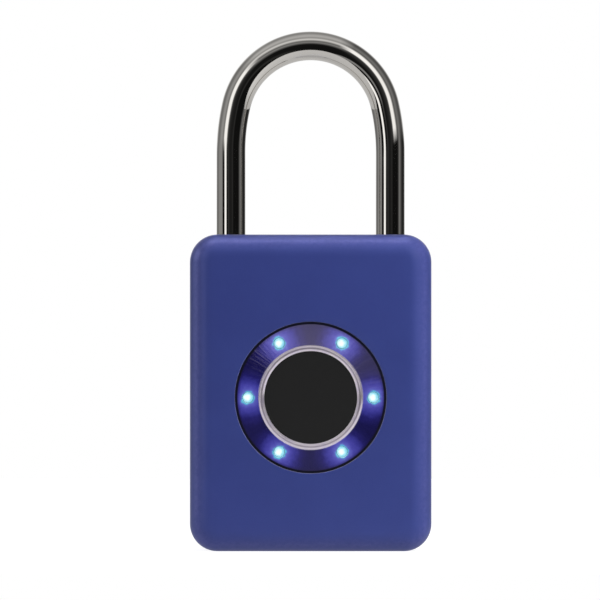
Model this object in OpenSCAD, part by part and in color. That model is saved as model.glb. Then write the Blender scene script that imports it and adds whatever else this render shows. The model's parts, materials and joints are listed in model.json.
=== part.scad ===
// Fingerprint padlock: a two-part housing, a round lit sensor in the front, a steel shackle, and
// a bolt that a small geared motor drives inside a cast lock chassis.
// Millimetres, +Z up. The front faces -Y. The origin is the centre of the flat base.

/* [Body] */
// Width of the housing
body_w = 43; // [42.8:0.1:44]
// Height of the housing, base to top
body_h = 56.4; // [56.2:0.1:57]
// Depth of the housing, front to back
body_d = 22; // [22:0.1:22.6]
// Radius of the four corners in the front view
corner_r = 4.9; // [4.7:0.1:5.2]
// Rounding of the front and rear edges
edge_r = 4; // [3.4:0.1:4.2]
// Wall thickness
wall = 2.2; // [2:0.1:2.2]
// Depth of the front housing, from the front face to the seam
seam_depth = 16; // [15.6:0.1:16.4]

/* [Shackle] */
// Diameter of the shackle bar
rod_d = 5.15; // [4.9:0.05:5.2]
// Distance between the two leg axes
leg_span = 28.48; // [28.2:0.02:28.8]
// Height of the shackle above the housing
shackle_h = 36.4; // [30:0.1:60]
// Bend radius of the bar where each leg starts to turn inwards
side_r = 37.4; // [30:0.1:50]
// Angle of that first bend
side_deg = 12; // [6:1:20]
// How far the shackle lifts when the lock opens
lift = 14; // [13:0.1:14]

/* [Sensor and light ring] */
// Height of the sensor centre above the base
sensor_z = 27.4; // [27:0.1:27.6]
// Diameter of the opening in the front
ring_d = 27; // [27:0.02:27.4]
// Outer diameter of the bezel around the sensor disc
bezel_d = 18.44; // [18.2:0.02:18.5]
// Diameter of the sensor disc
disc_d = 16.48; // [16:0.02:16.5]
// Number of lamps in the light ring
led_count = 6; // [3:1:12]
// Diameter of the circle that the lamps stand on
led_circle_d = 22.3; // [22.2:0.1:22.5]

/* [Lock drive] */
// Turn of the pinion from unlocked to locked, in degrees
pinion_turn = 45; // [30:1:45]

/* [Hidden] */

$fn = 64;
eps = 0.01;                       // overrun of a cut beyond the face it opens

blue = "#3b4388";
steel = "#b8babd";
zinc = "#9a9da1";
black = "#1c1c1e";
board_green = "#1f5a3a";

// Housing, measured along Y from the front face
front_y = -body_d / 2;
rear_y = body_d / 2;
seam_y = front_y + seam_depth;
seam_gap = 0.1;
inner_front = front_y + wall;
inner_rear = rear_y - wall;
cavity_x = body_w / 2 - wall;
cavity_bottom = 2.4;
cavity_top = body_h - wall;
cavity_r = corner_r - wall;
lip_t = 0.9;                      // tongue of the rear housing inside the front one
lip_gap = 0.12;
lip_depth = 1.5;
root = 0.2;                       // how far a tongue or boss is rooted in its wall
gasket_w = 0.6;

// Four long screws clamp the two housings: [x, z] of each
upper_screw_x = 8.4;
upper_screw_z = 43;
lower_screw_z = 7.6;
screw_places = [[-upper_screw_x, upper_screw_z], [upper_screw_x, upper_screw_z],
                [-leg_span / 2, lower_screw_z], [leg_span / 2, lower_screw_z]];
screw_r = 1;
screw_clear_r = 1.15;
screw_head_r = 1.9;
screw_head_h = 1.3;
pillar_r = 2.4;
clamp_y = 7.4;                    // rear end of everything the long screws clamp
boss_r = 3.1;

// Rear panel over the screw heads
panel_w = 34;
panel_h = 47.6;
panel_r = 3;
panel_t = 1;
panel_recess = 1.05;
panel_gap = 0.1;

// Shackle
rod_r = rod_d / 2;
leg_x = leg_span / 2;
bore_r = rod_r + 0.05;
link_l = 0.4;                     // straight run between the side bend and the bow
link_proud = 0.03;                // how much fuller the straight run is than the bends
bow_r = (leg_x - side_r * (1 - cos(side_deg)) - link_l * sin(side_deg)) / cos(side_deg);
bow_rise = (side_r - bow_r) * sin(side_deg) + link_l * cos(side_deg);
bend_z = body_h + shackle_h - rod_r - bow_r - bow_rise;
toe_end = body_h - 11;
heel_neck_top = 38;
heel_neck_r = 1.75;
heel_pin_r = 0.8;
heel_pin_z = heel_neck_top - 1;
heel_neck_bottom = heel_pin_z - heel_pin_r - lift - 0.2;
heel_end = heel_neck_bottom - 3;
end_chamfer = 0.5;
bush_r = 3.4;

// Bolt and notch: the bolt lies along X and slides into the toe leg
bolt_h = 2.8;
bolt_mid_z = 50;
bolt_front_y = -1.6;
bolt_tip_x = leg_x - bore_r - 0.415;
bolt_tail_x = -4.6;
notch_gap = 0.3;
notch_depth = 1.75;
channel_gap = 0.1;

// Pinion and rack
gear_m = 0.5;                     // gear module
pinion_teeth = 10;
pinion_x = 1;
pinion_y = 3.4;
pitch_r = gear_m * pinion_teeth / 2;
gear_pitch = PI * gear_m;
pressure_deg = 25;
base_r = pitch_r * cos(pressure_deg);
tip_r = pitch_r + 0.42;
root_r = pitch_r - 0.55;
backlash = 0.05;                  // play on each flank
tooth_t = gear_pitch / 2 - backlash;
rack_line_y = pinion_y - pitch_r;
rack_up = 0.4;
rack_down = 0.55;
bolt_travel = pitch_r * pinion_turn * PI / 180;
shaft_r = 0.7;
shaft_bore_r = 0.78;

// Lock chassis
chassis_x = 18.9;
chassis_front = -4.4;
chassis_top = 53.9;
bar_bottom = 38;
column_x = -9.6;
column_front = -4;
column_rear = 3.4;
column_bottom = 3.9;
chassis_r = 2.4;
spring_floor = 10;
cap_x = 10.6;
cap_front = -3.8;
cap_rear = 6.9;
cap_floor = bolt_mid_z + bolt_h / 2 + 0.3;
cap_screw_y = 4.6;

// Motor and gearbox, standing on the pinion axis
motor_r = 3;
motor_bottom = 24.6;
gearbox_bottom = 34.6;
gearbox_top = 43;

// Shackle spring
spring_wire_r = 0.25;
spring_r = 1.95;
spring_turns = 9;
spring_steps = 20;                // points in one turn
wire_sides = 8;

// Boards, measured as Y from front to rear
board_front = front_y + 4.4;
board_rear = board_front + 1;
board_x = 18.5;
board_bottom = 5.4;
board_top = 52;
board_screw_places = [[-16.4, 30], [16.4, 30], [0, 49]];

// Charging port in the base
port_y = board_rear + 1.6;
socket_w = 8.94;
socket_t = 3.2;
socket_bottom = 2.6;
socket_h = 7.3;
port_w = 9.4;
port_t = 3.6;
flap_recess_w = 16.4;
flap_recess_t = 5.2;
flap_recess_d = 1.15;
flap_bottom = 0.15;
flap_top = 1;
flap_half_w = 7.4;
flap_t = 4.6;
hinge_r = 0.48;
trunnion_r = 0.3;
trunnion_bore_r = 0.36;
trunnion_l = 0.5;
hinge_z = 0.6;

// Light ring and sensor, measured as depth behind the front face
ring_r = ring_d / 2;
lens_gap = 0.35;                  // gap around the lens, which its gasket fills
lens_r = ring_r - lens_gap;
lens_in_r = bezel_d / 2 + 0.08;
flange_r = lens_r + 1.2;
flange_back = 2.85;
lens_back = 2.2;
bezel_r = bezel_d / 2;
disc_r = disc_d / 2;
led_r = 0.92;
led_window_r = 1;
led_tip = 0.62;
led_board_back = 3.7;
ring_screw_r = 15.9;
ring_screw_angles = [90, 210, 330];
ring_pillar_r = 1.3;

// Battery
cell_x = -7;
cell_w = 20;
cell_t = 4;
cell_bottom = 11.6;
cell_h = 25;
cell_front = board_rear + 0.5;

// ---------- shared shapes ----------

// Rounded rectangle, centred on X, standing on y = 0
module round_rect(w, h, r) {
    translate([-w / 2, r]) square([w, h - 2 * r]);
    translate([r - w / 2, 0]) square([w - 2 * r, h]);
    for (x = [r - w / 2, w / 2 - r], y = [r, h - r])
        translate([x, y]) circle(r);
}

// Outline drawn in X and Z, filled from y0 to y1
module slab_y(y0, y1) {
    translate([0, y1, 0]) rotate([90, 0, 0]) linear_extrude(y1 - y0) children();
}

module rod_y(x, z, r, y0, y1) {
    translate([x, y1, z]) rotate([90, 0, 0]) cylinder(r = r, h = y1 - y0);
}

module block(x0, x1, y0, y1, z0, z1) {
    translate([x0, y0, z0]) cube([x1 - x0, y1 - y0, z1 - z0]);
}

// Half of a rounded edge: out to r = c, rounded by e where it meets the face at y = 0
module edge_profile(c, e, depth) {
    square([c - e, depth]);
    translate([c - e, e]) square([e, depth - e]);
    intersection() {
        translate([c - e, e]) circle(e);
        translate([c - e, 0]) square([e, e]);
    }
}

// Block with rounded corners, whose lower face has rounded edges: w along X, h along Y
module soft_slab(w, h, c, e, depth) {
    a = w / 2 - c;
    b = h / 2 - c;
    translate([0, h / 2, 0]) {
        translate([-a, -b, 0]) cube([2 * a, 2 * b, depth]);
        for (i = [0:3]) {
            side = i % 2 == 0 ? 2 * a : 2 * b;
            translate([i == 0 || i == 3 ? a : -a, i < 2 ? b : -b, 0]) rotate(i * 90) {
                rotate_extrude(angle = 90) edge_profile(c, e, depth);
                translate([-side, 0, 0]) rotate([90, 0, 90])
                    linear_extrude(side) edge_profile(c, e, depth);
            }
        }
    }
}

// Inside of the housings, grown by g
module cavity(y0, y1, g = 0) {
    translate([0, 0, cavity_bottom - g]) slab_y(y0, y1)
        round_rect(2 * (cavity_x + g), cavity_top - cavity_bottom + 2 * g, cavity_r + g);
}

// Places children on the sensor axis: their Z is depth behind the front face
module on_sensor() {
    translate([0, front_y, sensor_z]) mirror([0, 1, 0]) rotate([90, 0, 0]) children();
}

module ring(r_in, r_out, t0, t1) {
    translate([0, 0, t0]) difference() {
        cylinder(r = r_out, h = t1 - t0);
        translate([0, 0, -eps]) cylinder(r = r_in, h = t1 - t0 + 2 * eps);
    }
}

// Pan-head screw along +Y into the object from the rear: head towards +Y
module screw_y(x, z, r, head_r, head_h, tip_y, seat_y) {
    difference() {
        union() {
            rod_y(x, z, r, tip_y, seat_y);
            rod_y(x, z, head_r, seat_y, seat_y + head_h);
        }
        cross_slot(x, seat_y + head_h, z, head_r);
    }
}

// Cross recess in a screw head whose top is at y
module cross_slot(x, y, z, head_r) {
    arm = head_r * 0.62;
    slot = head_r * 0.12;
    block(x - arm, x + arm, y - head_r * 0.35, y + eps, z - slot, z + slot);
    block(x - slot, x + slot, y - head_r * 0.35, y + eps, z - arm, z + arm);
}

// ---------- housing ----------

module front_housing() color(blue) {
    difference() {
        translate([0, front_y, 0]) mirror([0, 1, 0]) rotate([90, 0, 0])
            soft_slab(body_w, body_h, corner_r, edge_r, seam_depth);
        cavity(inner_front, seam_y + eps);
        sensor_opening();
        for (x = [-leg_x, leg_x])
            translate([x, 0, cavity_top - 1]) cylinder(r = bush_r + 0.05, h = 4);
        port_opening();
    }
    front_pillars();
}

module sensor_opening() {
    chamfer = 0.12;
    on_sensor() {
        translate([0, 0, -1]) cylinder(r = ring_r, h = wall + 2);
        translate([0, 0, -eps]) cylinder(r1 = ring_r + chamfer, r2 = ring_r, h = chamfer);
    }
}

module port_opening() {
    half_t = flap_recess_t / 2;
    block(-flap_recess_w / 2, flap_recess_w / 2, port_y - half_t, port_y + half_t, -1, flap_recess_d);
    block(-port_w / 2, port_w / 2, port_y - port_t / 2, port_y + port_t / 2, 0, cavity_bottom + eps);
    rod_y(flap_half_w, hinge_z, trunnion_bore_r, port_y - half_t - trunnion_l,
          port_y + half_t + trunnion_l);
}

// Pillars for the long screws, the board screws and the light ring screws
module front_pillars() {
    wall_in = 0.4;                // how far a pillar is rooted in the front wall
    for (p = screw_places) difference() {
        rod_y(p[0], p[1], pillar_r, inner_front - wall_in, pillar_end(p));
        rod_y(p[0], p[1], screw_r, inner_front + 0.6, clamp_y + 1);
    }
    for (p = board_screw_places) difference() {
        rod_y(p[0], p[1], 1.6, inner_front - wall_in, board_front - 0.05);
        rod_y(p[0], p[1], 0.7, inner_front + 0.4, board_front + 1);
    }
    for (a = ring_screw_angles) difference() {
        on_sensor() rotate(a) translate([ring_screw_r, 0, wall - wall_in])
            cylinder(r = ring_pillar_r, h = flange_back - wall + wall_in);
        on_sensor() rotate(a) translate([ring_screw_r, 0, wall - 0.1]) cylinder(r = 0.6, h = 2);
    }
}

// Rear end of a long-screw pillar: three stop at the chassis, the fourth reaches the rear boss
function pillar_end(p) = p[1] == upper_screw_z ? chassis_front - 0.05
    : p[0] < 0 ? column_front - 0.05 : clamp_y;

module rear_housing() color(blue) {
    boss_front = clamp_y + 0.1;
    difference() {
        union() {
            difference() {
                translate([0, rear_y, 0]) rotate([90, 0, 0])
                    soft_slab(body_w, body_h, corner_r, edge_r, rear_y - seam_y - seam_gap);
                cavity(seam_y, inner_rear);
            }
            tongue();
            for (p = screw_places) rod_y(p[0], p[1], boss_r, boss_front, inner_rear + root);
        }
        panel_pocket();
        for (p = screw_places) {
            rod_y(p[0], p[1], screw_clear_r, boss_front - 1, rear_y);
            rod_y(p[0], p[1], screw_head_r + 0.2, head_seat(), rear_y);
        }
        gasket_groove();
    }
}

// Tongue inside the front housing; it stops under the chassis, which fills the top of the cavity
module tongue() difference() {
    cavity(seam_y - lip_depth, inner_rear + root, -lip_gap);
    cavity(seam_y - 2, inner_rear, -lip_gap - lip_t);
    block(-cavity_x, cavity_x, seam_y - 2, inner_rear, bar_bottom - 0.4, cavity_top);
}

function head_seat() = rear_y - panel_recess - screw_head_h - 0.1;

module panel_pocket() {
    translate([0, 0, (body_h - panel_h) / 2]) slab_y(rear_y - panel_recess, rear_y + 1)
        round_rect(panel_w, panel_h, panel_r);
}

module gasket_groove() {
    difference() {
        cavity(seam_y, seam_y + 0.7, gasket_w + 0.3);
        cavity(seam_y - 1, seam_y + 1, 0.2);
    }
}

module rear_panel() color(blue) {
    w = panel_w - 2 * panel_gap;
    h = panel_h - 2 * panel_gap;
    translate([0, 0, (body_h - h) / 2]) slab_y(rear_y - panel_t, rear_y)
        round_rect(w, h, panel_r - panel_gap);
}

module housing_gasket() color(black) {
    difference() {
        cavity(seam_y + 0.02, seam_y + 0.65, gasket_w + 0.25);
        cavity(seam_y - 1, seam_y + 2, 0.25);
    }
}

module housing_screws() color(steel) {
    for (p = screw_places)
        screw_y(p[0], p[1], screw_r - 0.02, screw_head_r, screw_head_h, inner_front + 1, head_seat() + 0.02);
}

// ---------- lock chassis ----------

module lock_chassis() color(zinc) {
    difference() {
        union() {
            translate([0, 0, bar_bottom]) slab_y(chassis_front, clamp_y)
                round_rect(2 * chassis_x, chassis_top - bar_bottom, chassis_r);
            column();
            rod_y(-leg_x, lower_screw_z, pillar_r, 0, clamp_y);
        }
        shackle_bores();
        drive_pockets();
        translate([pinion_x, pinion_y, bar_bottom - 1])
            cylinder(r = motor_r + 0.05, h = gearbox_top + 1.1 - bar_bottom);
        block(-cap_x - 0.2, cap_x + 0.2, cap_front - 0.2, cap_rear + 0.2, cap_floor, chassis_top + 1);
        for (x = [-upper_screw_x, upper_screw_x]) {
            translate([x, cap_screw_y, cap_floor - 3.4]) cylinder(r = 0.82, h = 4);
            rod_y(x, upper_screw_z, screw_clear_r, chassis_front - 1, clamp_y + 1);
        }
        rod_y(-leg_x, lower_screw_z, screw_clear_r, column_front - 1, clamp_y + 1);
        rod_y(heel_pin_x(), heel_pin_z, heel_pin_r + 0.02, column_front - 1, column_rear + 1);
    }
}

function heel_pin_x() = heel_neck_r + heel_pin_r + 0.08 - leg_x;

module column() {
    top = bar_bottom + 5;
    w = column_x + chassis_x;
    translate([column_x - w / 2, 0, column_bottom]) slab_y(column_front, column_rear)
        round_rect(w, top - column_bottom, chassis_r);
}

// Heel leg runs down to the spring; the toe leg stops just below the bolt
module shackle_bores() {
    translate([-leg_x, 0, spring_floor]) cylinder(r = bore_r, h = body_h);
    translate([leg_x, 0, toe_end - 0.5]) cylinder(r = bore_r, h = body_h);
}

// Bolt channel, open on top under the cap, and the round pocket of the pinion
module drive_pockets() {
    low = bolt_mid_z - bolt_h / 2 - 0.3;
    block(bolt_tail_x - 0.3, leg_x, bolt_front_y - channel_gap, rack_line_y + rack_up + channel_gap,
          low, cap_floor + eps);
    translate([pinion_x, pinion_y, low]) cylinder(r = tip_r + 0.38, h = cap_floor - low + eps);
    translate([pinion_x, pinion_y, bar_bottom]) cylinder(r = shaft_bore_r, h = low);
}

module chassis_cap() color(zinc) {
    top = chassis_top - 0.2;
    difference() {
        block(-cap_x, cap_x, cap_front, cap_rear, cap_floor + 0.03, top);
        for (x = [-upper_screw_x, upper_screw_x]) {
            translate([x, cap_screw_y, cap_floor - 1]) cylinder(r = 0.95, h = 5);
            translate([x, cap_screw_y, top - 1.1]) cylinder(r = 1.6, h = 2);
        }
        translate([pinion_x, pinion_y, cap_floor - 1]) cylinder(r = shaft_bore_r, h = 2);
    }
}

module cap_screws() color(steel) {
    seat = chassis_top - 0.2 - 1.1 + 0.02;
    for (x = [-upper_screw_x, upper_screw_x]) translate([x, cap_screw_y, 0]) difference() {
        union() {
            translate([0, 0, cap_floor - 3]) cylinder(r = 0.8, h = seat - cap_floor + 3);
            translate([0, 0, seat]) cylinder(r = 1.4, h = 0.95);
        }
        block(-0.9, 0.9, -0.15, 0.15, seat + 0.5, seat + 2);
        block(-0.15, 0.15, -0.9, 0.9, seat + 0.5, seat + 2);
    }
}

// ---------- shackle ----------

module shackle() color(steel) {
    heel_leg();
    toe_leg();
    for (s = [-1, 1]) side_bend(s);
    bow();
}

module heel_leg() {
    translate([-leg_x, 0, 0]) {
        translate([0, 0, heel_neck_top]) cylinder(r = rod_r, h = bend_z - heel_neck_top);
        translate([0, 0, heel_neck_bottom]) cylinder(r = heel_neck_r, h = heel_neck_top - heel_neck_bottom);
        translate([0, 0, heel_end + end_chamfer])
            cylinder(r = rod_r, h = heel_neck_bottom - heel_end - end_chamfer);
        translate([0, 0, heel_end]) cylinder(r1 = rod_r - end_chamfer, r2 = rod_r, h = end_chamfer);
    }
}

module toe_leg() {
    difference() {
        translate([leg_x, 0, 0]) {
            translate([0, 0, toe_end + end_chamfer]) cylinder(r = rod_r, h = bend_z - toe_end - end_chamfer);
            translate([0, 0, toe_end]) cylinder(r1 = rod_r - end_chamfer, r2 = rod_r, h = end_chamfer);
        }
        block(leg_x - rod_r - 1, leg_x - rod_r + notch_depth, -rod_d, rod_d,
              bolt_mid_z - bolt_h / 2 - notch_gap, bolt_mid_z + bolt_h / 2 + notch_gap);
    }
}

// First, wide bend at the top of a leg and the straight run after it: s is -1 for the heel side
module side_bend(s) {
    translate([s * (leg_x - side_r), 0, bend_z]) {
        rotate([90, 0, 0]) mirror([s < 0 ? 1 : 0, 0, 0])
            rotate_extrude(angle = side_deg) translate([side_r, 0]) circle(rod_r);
        rotate([0, -s * side_deg, 0]) translate([s * side_r, 0, -link_l / 2])
            cylinder(r = rod_r + link_proud, h = 2 * link_l);
    }
}

module bow() {
    translate([0, 0, bend_z + bow_rise]) rotate([90, 0, 0]) rotate(side_deg)
        rotate_extrude(angle = 180 - 2 * side_deg) translate([bow_r, 0]) circle(rod_r);
}

module shackle_bushes() color(black) {
    for (x = [-leg_x, leg_x]) translate([x, 0, 0])
        ring(bore_r + 0.02, bush_r, cavity_top - 0.25, body_h - 0.2);
}

module heel_pin() color(steel)
    rod_y(heel_pin_x(), heel_pin_z, heel_pin_r, column_front + 0.1, column_rear - 0.1);

// Round-wire coil as one closed mesh: rings of wire_sides points along the helix
module shackle_spring() color(steel) {
    height = heel_end - spring_floor - 2 * spring_wire_r - 0.2;
    last = spring_turns * spring_steps;
    points = [for (i = [0:last]) each coil_ring(i, height * i / last)];
    sides = [for (i = [0:last - 1], k = [0:wire_sides - 1])
        [i * wire_sides + k, i * wire_sides + (k + 1) % wire_sides,
         (i + 1) * wire_sides + (k + 1) % wire_sides, (i + 1) * wire_sides + k]];
    first_end = [for (k = [wire_sides - 1:-1:0]) k];
    last_end = [for (k = [0:wire_sides - 1]) last * wire_sides + k];
    translate([-leg_x, 0, spring_floor + spring_wire_r + 0.1])
        polyhedron(points = points, faces = concat(sides, [first_end, last_end]));
}

function coil_ring(i, z) = let (a = 360 * i / spring_steps)
    [for (k = [0:wire_sides - 1]) let (b = 360 * k / wire_sides, r = spring_r + spring_wire_r * cos(b))
        [r * cos(a), r * sin(a), z + spring_wire_r * sin(b)]];

// ---------- bolt drive ----------

module latch_bolt() color(steel) {
    root_y = rack_line_y - rack_down;
    tip_y = rack_line_y + rack_up;
    translate([0, 0, bolt_mid_z - bolt_h / 2]) linear_extrude(bolt_h) {
        translate([bolt_tail_x, bolt_front_y]) square([bolt_tip_x - bolt_tail_x, root_y - bolt_front_y]);
        head_x = pinion_x + 2.1 * gear_pitch;
        translate([head_x, bolt_front_y]) square([bolt_tip_x - head_x, tip_y - bolt_front_y]);
        for (k = [-3:1]) translate([pinion_x + (k + 0.5) * gear_pitch, 0]) rack_tooth();
    }
}

module rack_tooth() {
    top = tooth_t / 2 - rack_up * tan(pressure_deg);
    bottom = tooth_t / 2 + rack_down * tan(pressure_deg);
    translate([0, rack_line_y]) polygon([
        [-bottom, -rack_down - 0.1], [bottom, -rack_down - 0.1], [bottom, -rack_down],
        [top, rack_up], [-top, rack_up], [-bottom, -rack_down]]);
}

// Pinion with its shaft; one tooth points at the rack at rest
module drive_pinion() color(steel) translate([pinion_x, pinion_y, 0]) {
    translate([0, 0, bolt_mid_z - bolt_h / 2]) linear_extrude(bolt_h) rotate(-90) polygon(pinion_outline());
    translate([0, 0, gearbox_top - 1.6]) cylinder(r = shaft_r, h = cap_floor + 0.85 - gearbox_top + 1.6);
}

// Angle swept by an involute of the base circle out to radius r
function involute_deg(r) = let (t = sqrt(pow(r / base_r, 2) - 1)) t * 180 / PI - atan(t);
half_base_deg = tooth_t / pitch_r * 90 / PI + involute_deg(pitch_r);
function polar(r, a) = [r * cos(a), r * sin(a)];
flank_steps = 5;
function flank_r(i) = base_r + (tip_r - base_r) * i / flank_steps;
function tooth_points(a) = concat(
    [polar(root_r, a - half_base_deg)],
    [for (i = [0:flank_steps]) polar(flank_r(i), a - half_base_deg + involute_deg(flank_r(i)))],
    [for (i = [flank_steps:-1:0]) polar(flank_r(i), a + half_base_deg - involute_deg(flank_r(i)))],
    [polar(root_r, a + half_base_deg)]);
function pinion_outline() = [for (n = [0:pinion_teeth - 1]) each tooth_points(360 * n / pinion_teeth)];

module motor_gearbox() color("#c9a24a") translate([pinion_x, pinion_y, 0]) difference() {
    union() {
        translate([0, 0, gearbox_bottom]) cylinder(r = motor_r, h = gearbox_top - gearbox_bottom);
        translate([0, 0, gearbox_bottom + 1.2]) ring(motor_r - 0.4, motor_r + 0.25, 0, 0.6);
    }
    translate([0, 0, gearbox_top - 2]) cylinder(r = shaft_bore_r, h = 3);
}

module motor_can() color(steel) translate([pinion_x, pinion_y, motor_bottom]) {
    flat = motor_r - 0.5;
    intersection() {
        cylinder(r = motor_r, h = gearbox_bottom - motor_bottom - 0.02);
        block(-motor_r, motor_r, -flat, flat, 0, 20);
    }
    translate([0, 0, -0.5]) cylinder(r = 1, h = 0.6);
}

// Insulated wire along straight runs, each a little longer than its points so that they join
module wire(path, r) {
    last = len(path) - 2;
    for (i = [0:last]) {
        run = path[i + 1] - path[i];
        length = norm(run);
        before = i > 0 ? r : 0;
        after = i < last ? r : 0;
        translate(path[i]) rotate([0, acos(run[2] / length), atan2(run[1], run[0])])
            translate([0, 0, -before]) cylinder(r = r, h = before + length + after);
    }
}

wire_r = 0.35;
module motor_leads() color("#a03030") for (s = [0, 1]) {
    start_x = pinion_x - 1.9 + s * 3.4;
    end_x = 14.6 + s * 1.4;
    wire([[start_x, pinion_y, motor_bottom - 0.05], [start_x, pinion_y, 19.6 + s * 1.4],
          [end_x, 0.6, 13.2 + s * 1.4], [end_x, -4.25, 12.2]], wire_r);
}

module battery_leads() color("#a03030") for (s = [0, 1]) {
    start_x = cell_x + cell_w - 4 - s * 2;
    end_x = 14.7 + s * 1.5;
    y = cell_front + 1.2 + s * 1.2;
    top = cell_bottom + cell_h + 0.6;
    wire([[start_x, y, top - 0.55], [start_x, y, top], [end_x, y, top],
          [end_x, cell_front + 0.45, top - 1.5]], wire_r - 0.05);
}

// ---------- boards ----------

module main_board() color(board_green) difference() {
    translate([0, 0, board_bottom]) slab_y(board_front, board_rear)
        round_rect(2 * board_x, board_top - board_bottom, 1.5);
    for (p = screw_places) rod_y(p[0], p[1], pillar_r + 0.35, board_front - 1, board_rear + 1);
    for (p = board_screw_places) rod_y(p[0], p[1], 0.95, board_front - 1, board_rear + 1);
}

module board_screws() color(steel) for (p = board_screw_places)
    screw_y(p[0], p[1], 0.68, 1.35, 0.75, inner_front + 0.6, board_rear + 0.02);

// Processor, charger, motor driver, memory and small parts on the rear of the board
module control_chips() color(black) {
    y = board_rear + 0.01;
    // x, z, width and height of each package
    for (c = [[-3.2, 40.4, 6, 6], [3.2, 46.4, 3.4, 2.6], [-16.2, 44, 3, 3], [13.4, 45, 4, 5],
              [-7.6, 5.6, 3, 3], [6.3, 5.6, 3, 3]])
        block(c[0], c[0] + c[2], y, y + 0.9, c[1], c[1] + c[3]);
    for (x = [-17:2:-11], z = [33, 36]) block(x, x + 1, y, y + 0.5, z, z + 0.5);
}

// Sockets for the sensor cable (front), the battery leads and the motor leads (rear)
module cable_connectors() color("#d8d4c8") {
    block(-3.4, 3.4, board_front - 0.95, board_front - 0.02, 8.8, 12.2);
    for (p = [[13.8, 33], [13.8, 10.6]])
        block(p[0], p[0] + 3.4, board_rear + 0.01, board_rear + 1.3, p[1], p[1] + 2.6);
}

module usb_socket() color(steel) {
    y0 = board_rear + 0.01;
    y1 = y0 + socket_t;
    x = socket_w / 2;
    skin = 0.3;
    tongue_w = 6.6;
    tongue_t = 0.7;
    difference() {
        block(-x, x, y0, y1, socket_bottom, socket_bottom + socket_h);
        block(-x + skin, x - skin, y0 + skin, y1 - skin, socket_bottom - 1, socket_bottom + socket_h - 1);
    }
    block(-tongue_w / 2, tongue_w / 2, (y0 + y1 - tongue_t) / 2, (y0 + y1 + tongue_t) / 2,
          socket_bottom + 0.6, socket_bottom + socket_h - 0.5);
}

// Rubber cover of the charging port: a thin plate, a plug and a hinge bead with two trunnions
module port_cover() color(black) {
    half_t = flap_t / 2;
    plug = 0.3;                   // play around the plug
    block(-flap_half_w, flap_half_w, port_y - half_t, port_y + half_t, flap_bottom, flap_top);
    block(-port_w / 2 + plug, port_w / 2 - plug, port_y - port_t / 2 + plug, port_y + port_t / 2 - plug,
          flap_top - 0.2, flap_top + 0.8);
    rod_y(flap_half_w, hinge_z, hinge_r, port_y - half_t, port_y + half_t);
    rod_y(flap_half_w, hinge_z, trunnion_r, port_y - flap_recess_t / 2 - trunnion_l + 0.1,
          port_y + flap_recess_t / 2 + trunnion_l - 0.1);
}

// ---------- sensor and light ring ----------

// Tinted ring: its face slopes down towards the bezel, a flange behind the wall holds it, and
// the lamps look out through round windows
module light_ring() color("#2a2560") on_sensor() difference() {
    rotate_extrude() polygon([
        [lens_in_r, 0.8], [lens_r, 0.15], [lens_r, wall + 0.05], [flange_r, wall + 0.05],
        [flange_r, flange_back], [lens_r - 0.7, flange_back], [lens_r - 0.7, lens_back],
        [lens_in_r, lens_back]]);
    at_lamps() translate([0, 0, -1]) cylinder(r = led_window_r, h = 5);
}

module at_lamps() for (i = [0:led_count - 1])
    rotate(360 * i / led_count) translate([led_circle_d / 2, 0, 0]) children();

module ring_gasket() color(black) on_sensor() ring(lens_r + 0.03, ring_r - 0.03, 0.08, wall - 0.02);

module led_emitters() color("#7fe8ff") on_sensor() at_lamps() translate([0, 0, led_tip]) {
    cylinder(r1 = led_r - 0.3, r2 = led_r, h = 0.3);
    translate([0, 0, 0.3]) cylinder(r = led_r, h = flange_back - led_tip - 0.3);
}

// Ring-shaped board with three ears for its screws
board_face = flange_back + 0.02;
ear_r = 1.6;
module led_board() color("#20242a") on_sensor() difference() {
    union() {
        translate([0, 0, board_face]) cylinder(r = flange_r - 0.3, h = led_board_back - board_face);
        for (a = ring_screw_angles) rotate(a) {
            translate([0, -ear_r, board_face]) cube([ring_screw_r, 2 * ear_r, led_board_back - board_face]);
            translate([ring_screw_r, 0, board_face]) cylinder(r = ear_r, h = led_board_back - board_face);
        }
    }
    translate([0, 0, board_face - 1]) cylinder(r = bezel_r + 0.95, h = 3);
    for (a = ring_screw_angles) rotate(a) translate([ring_screw_r, 0, board_face - 1])
        cylinder(r = 0.75, h = 3);
}

module ring_screws() color(steel) for (a = ring_screw_angles)
    screw_y(ring_screw_r * cos(a), sensor_z + ring_screw_r * sin(a), 0.58, 1.15, 0.55,
            inner_front + 0.15, front_y + led_board_back + 0.02);

// Metal ring around the sensor disc, chamfered on both edges, with a foot behind the lens
module sensor_bezel() color("#cfc4bc") on_sensor() rotate_extrude() polygon([
    [disc_r + 0.03, 0.45], [disc_r + 0.3, 0.05], [bezel_r - 0.22, 0.05], [bezel_r, 0.35],
    [bezel_r, lens_back + 0.05], [bezel_r + 0.7, lens_back + 0.05], [bezel_r + 0.7, lens_back + 0.5],
    [disc_r + 0.03, lens_back + 0.5]]);

module sensor_disc() color(black) on_sensor() translate([0, 0, 0.5]) cylinder(r = disc_r, h = 0.8);

module sensor_module() color("#33363b") on_sensor() {
    translate([0, 0, 1.33]) cylinder(r = disc_r, h = 2);
    translate([-4.5, -4.5, 3.2]) cube([9, 9, 0.5]);
}

// Flat cable from the back of the sensor down to its connector
module sensor_flex() color("#b5752a") {
    depth = front_y + 3.75;
    block(-2.5, 2.5, depth, depth + 0.15, 12.25, sensor_z - 1);
    block(-2.5, 2.5, depth, board_front - 0.5, 12.25, 12.4);
}

// ---------- battery ----------

module battery_cell() color("#c8ccd2")
    block(cell_x, cell_x + cell_w, cell_front, cell_front + cell_t, cell_bottom, cell_bottom + cell_h);

module battery_pad() color("#2b2b2b")
    block(cell_x + 2, cell_x + cell_w - 2, board_rear + 0.02, cell_front - 0.02,
          cell_bottom + 2, cell_bottom + cell_h - 3);

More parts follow.
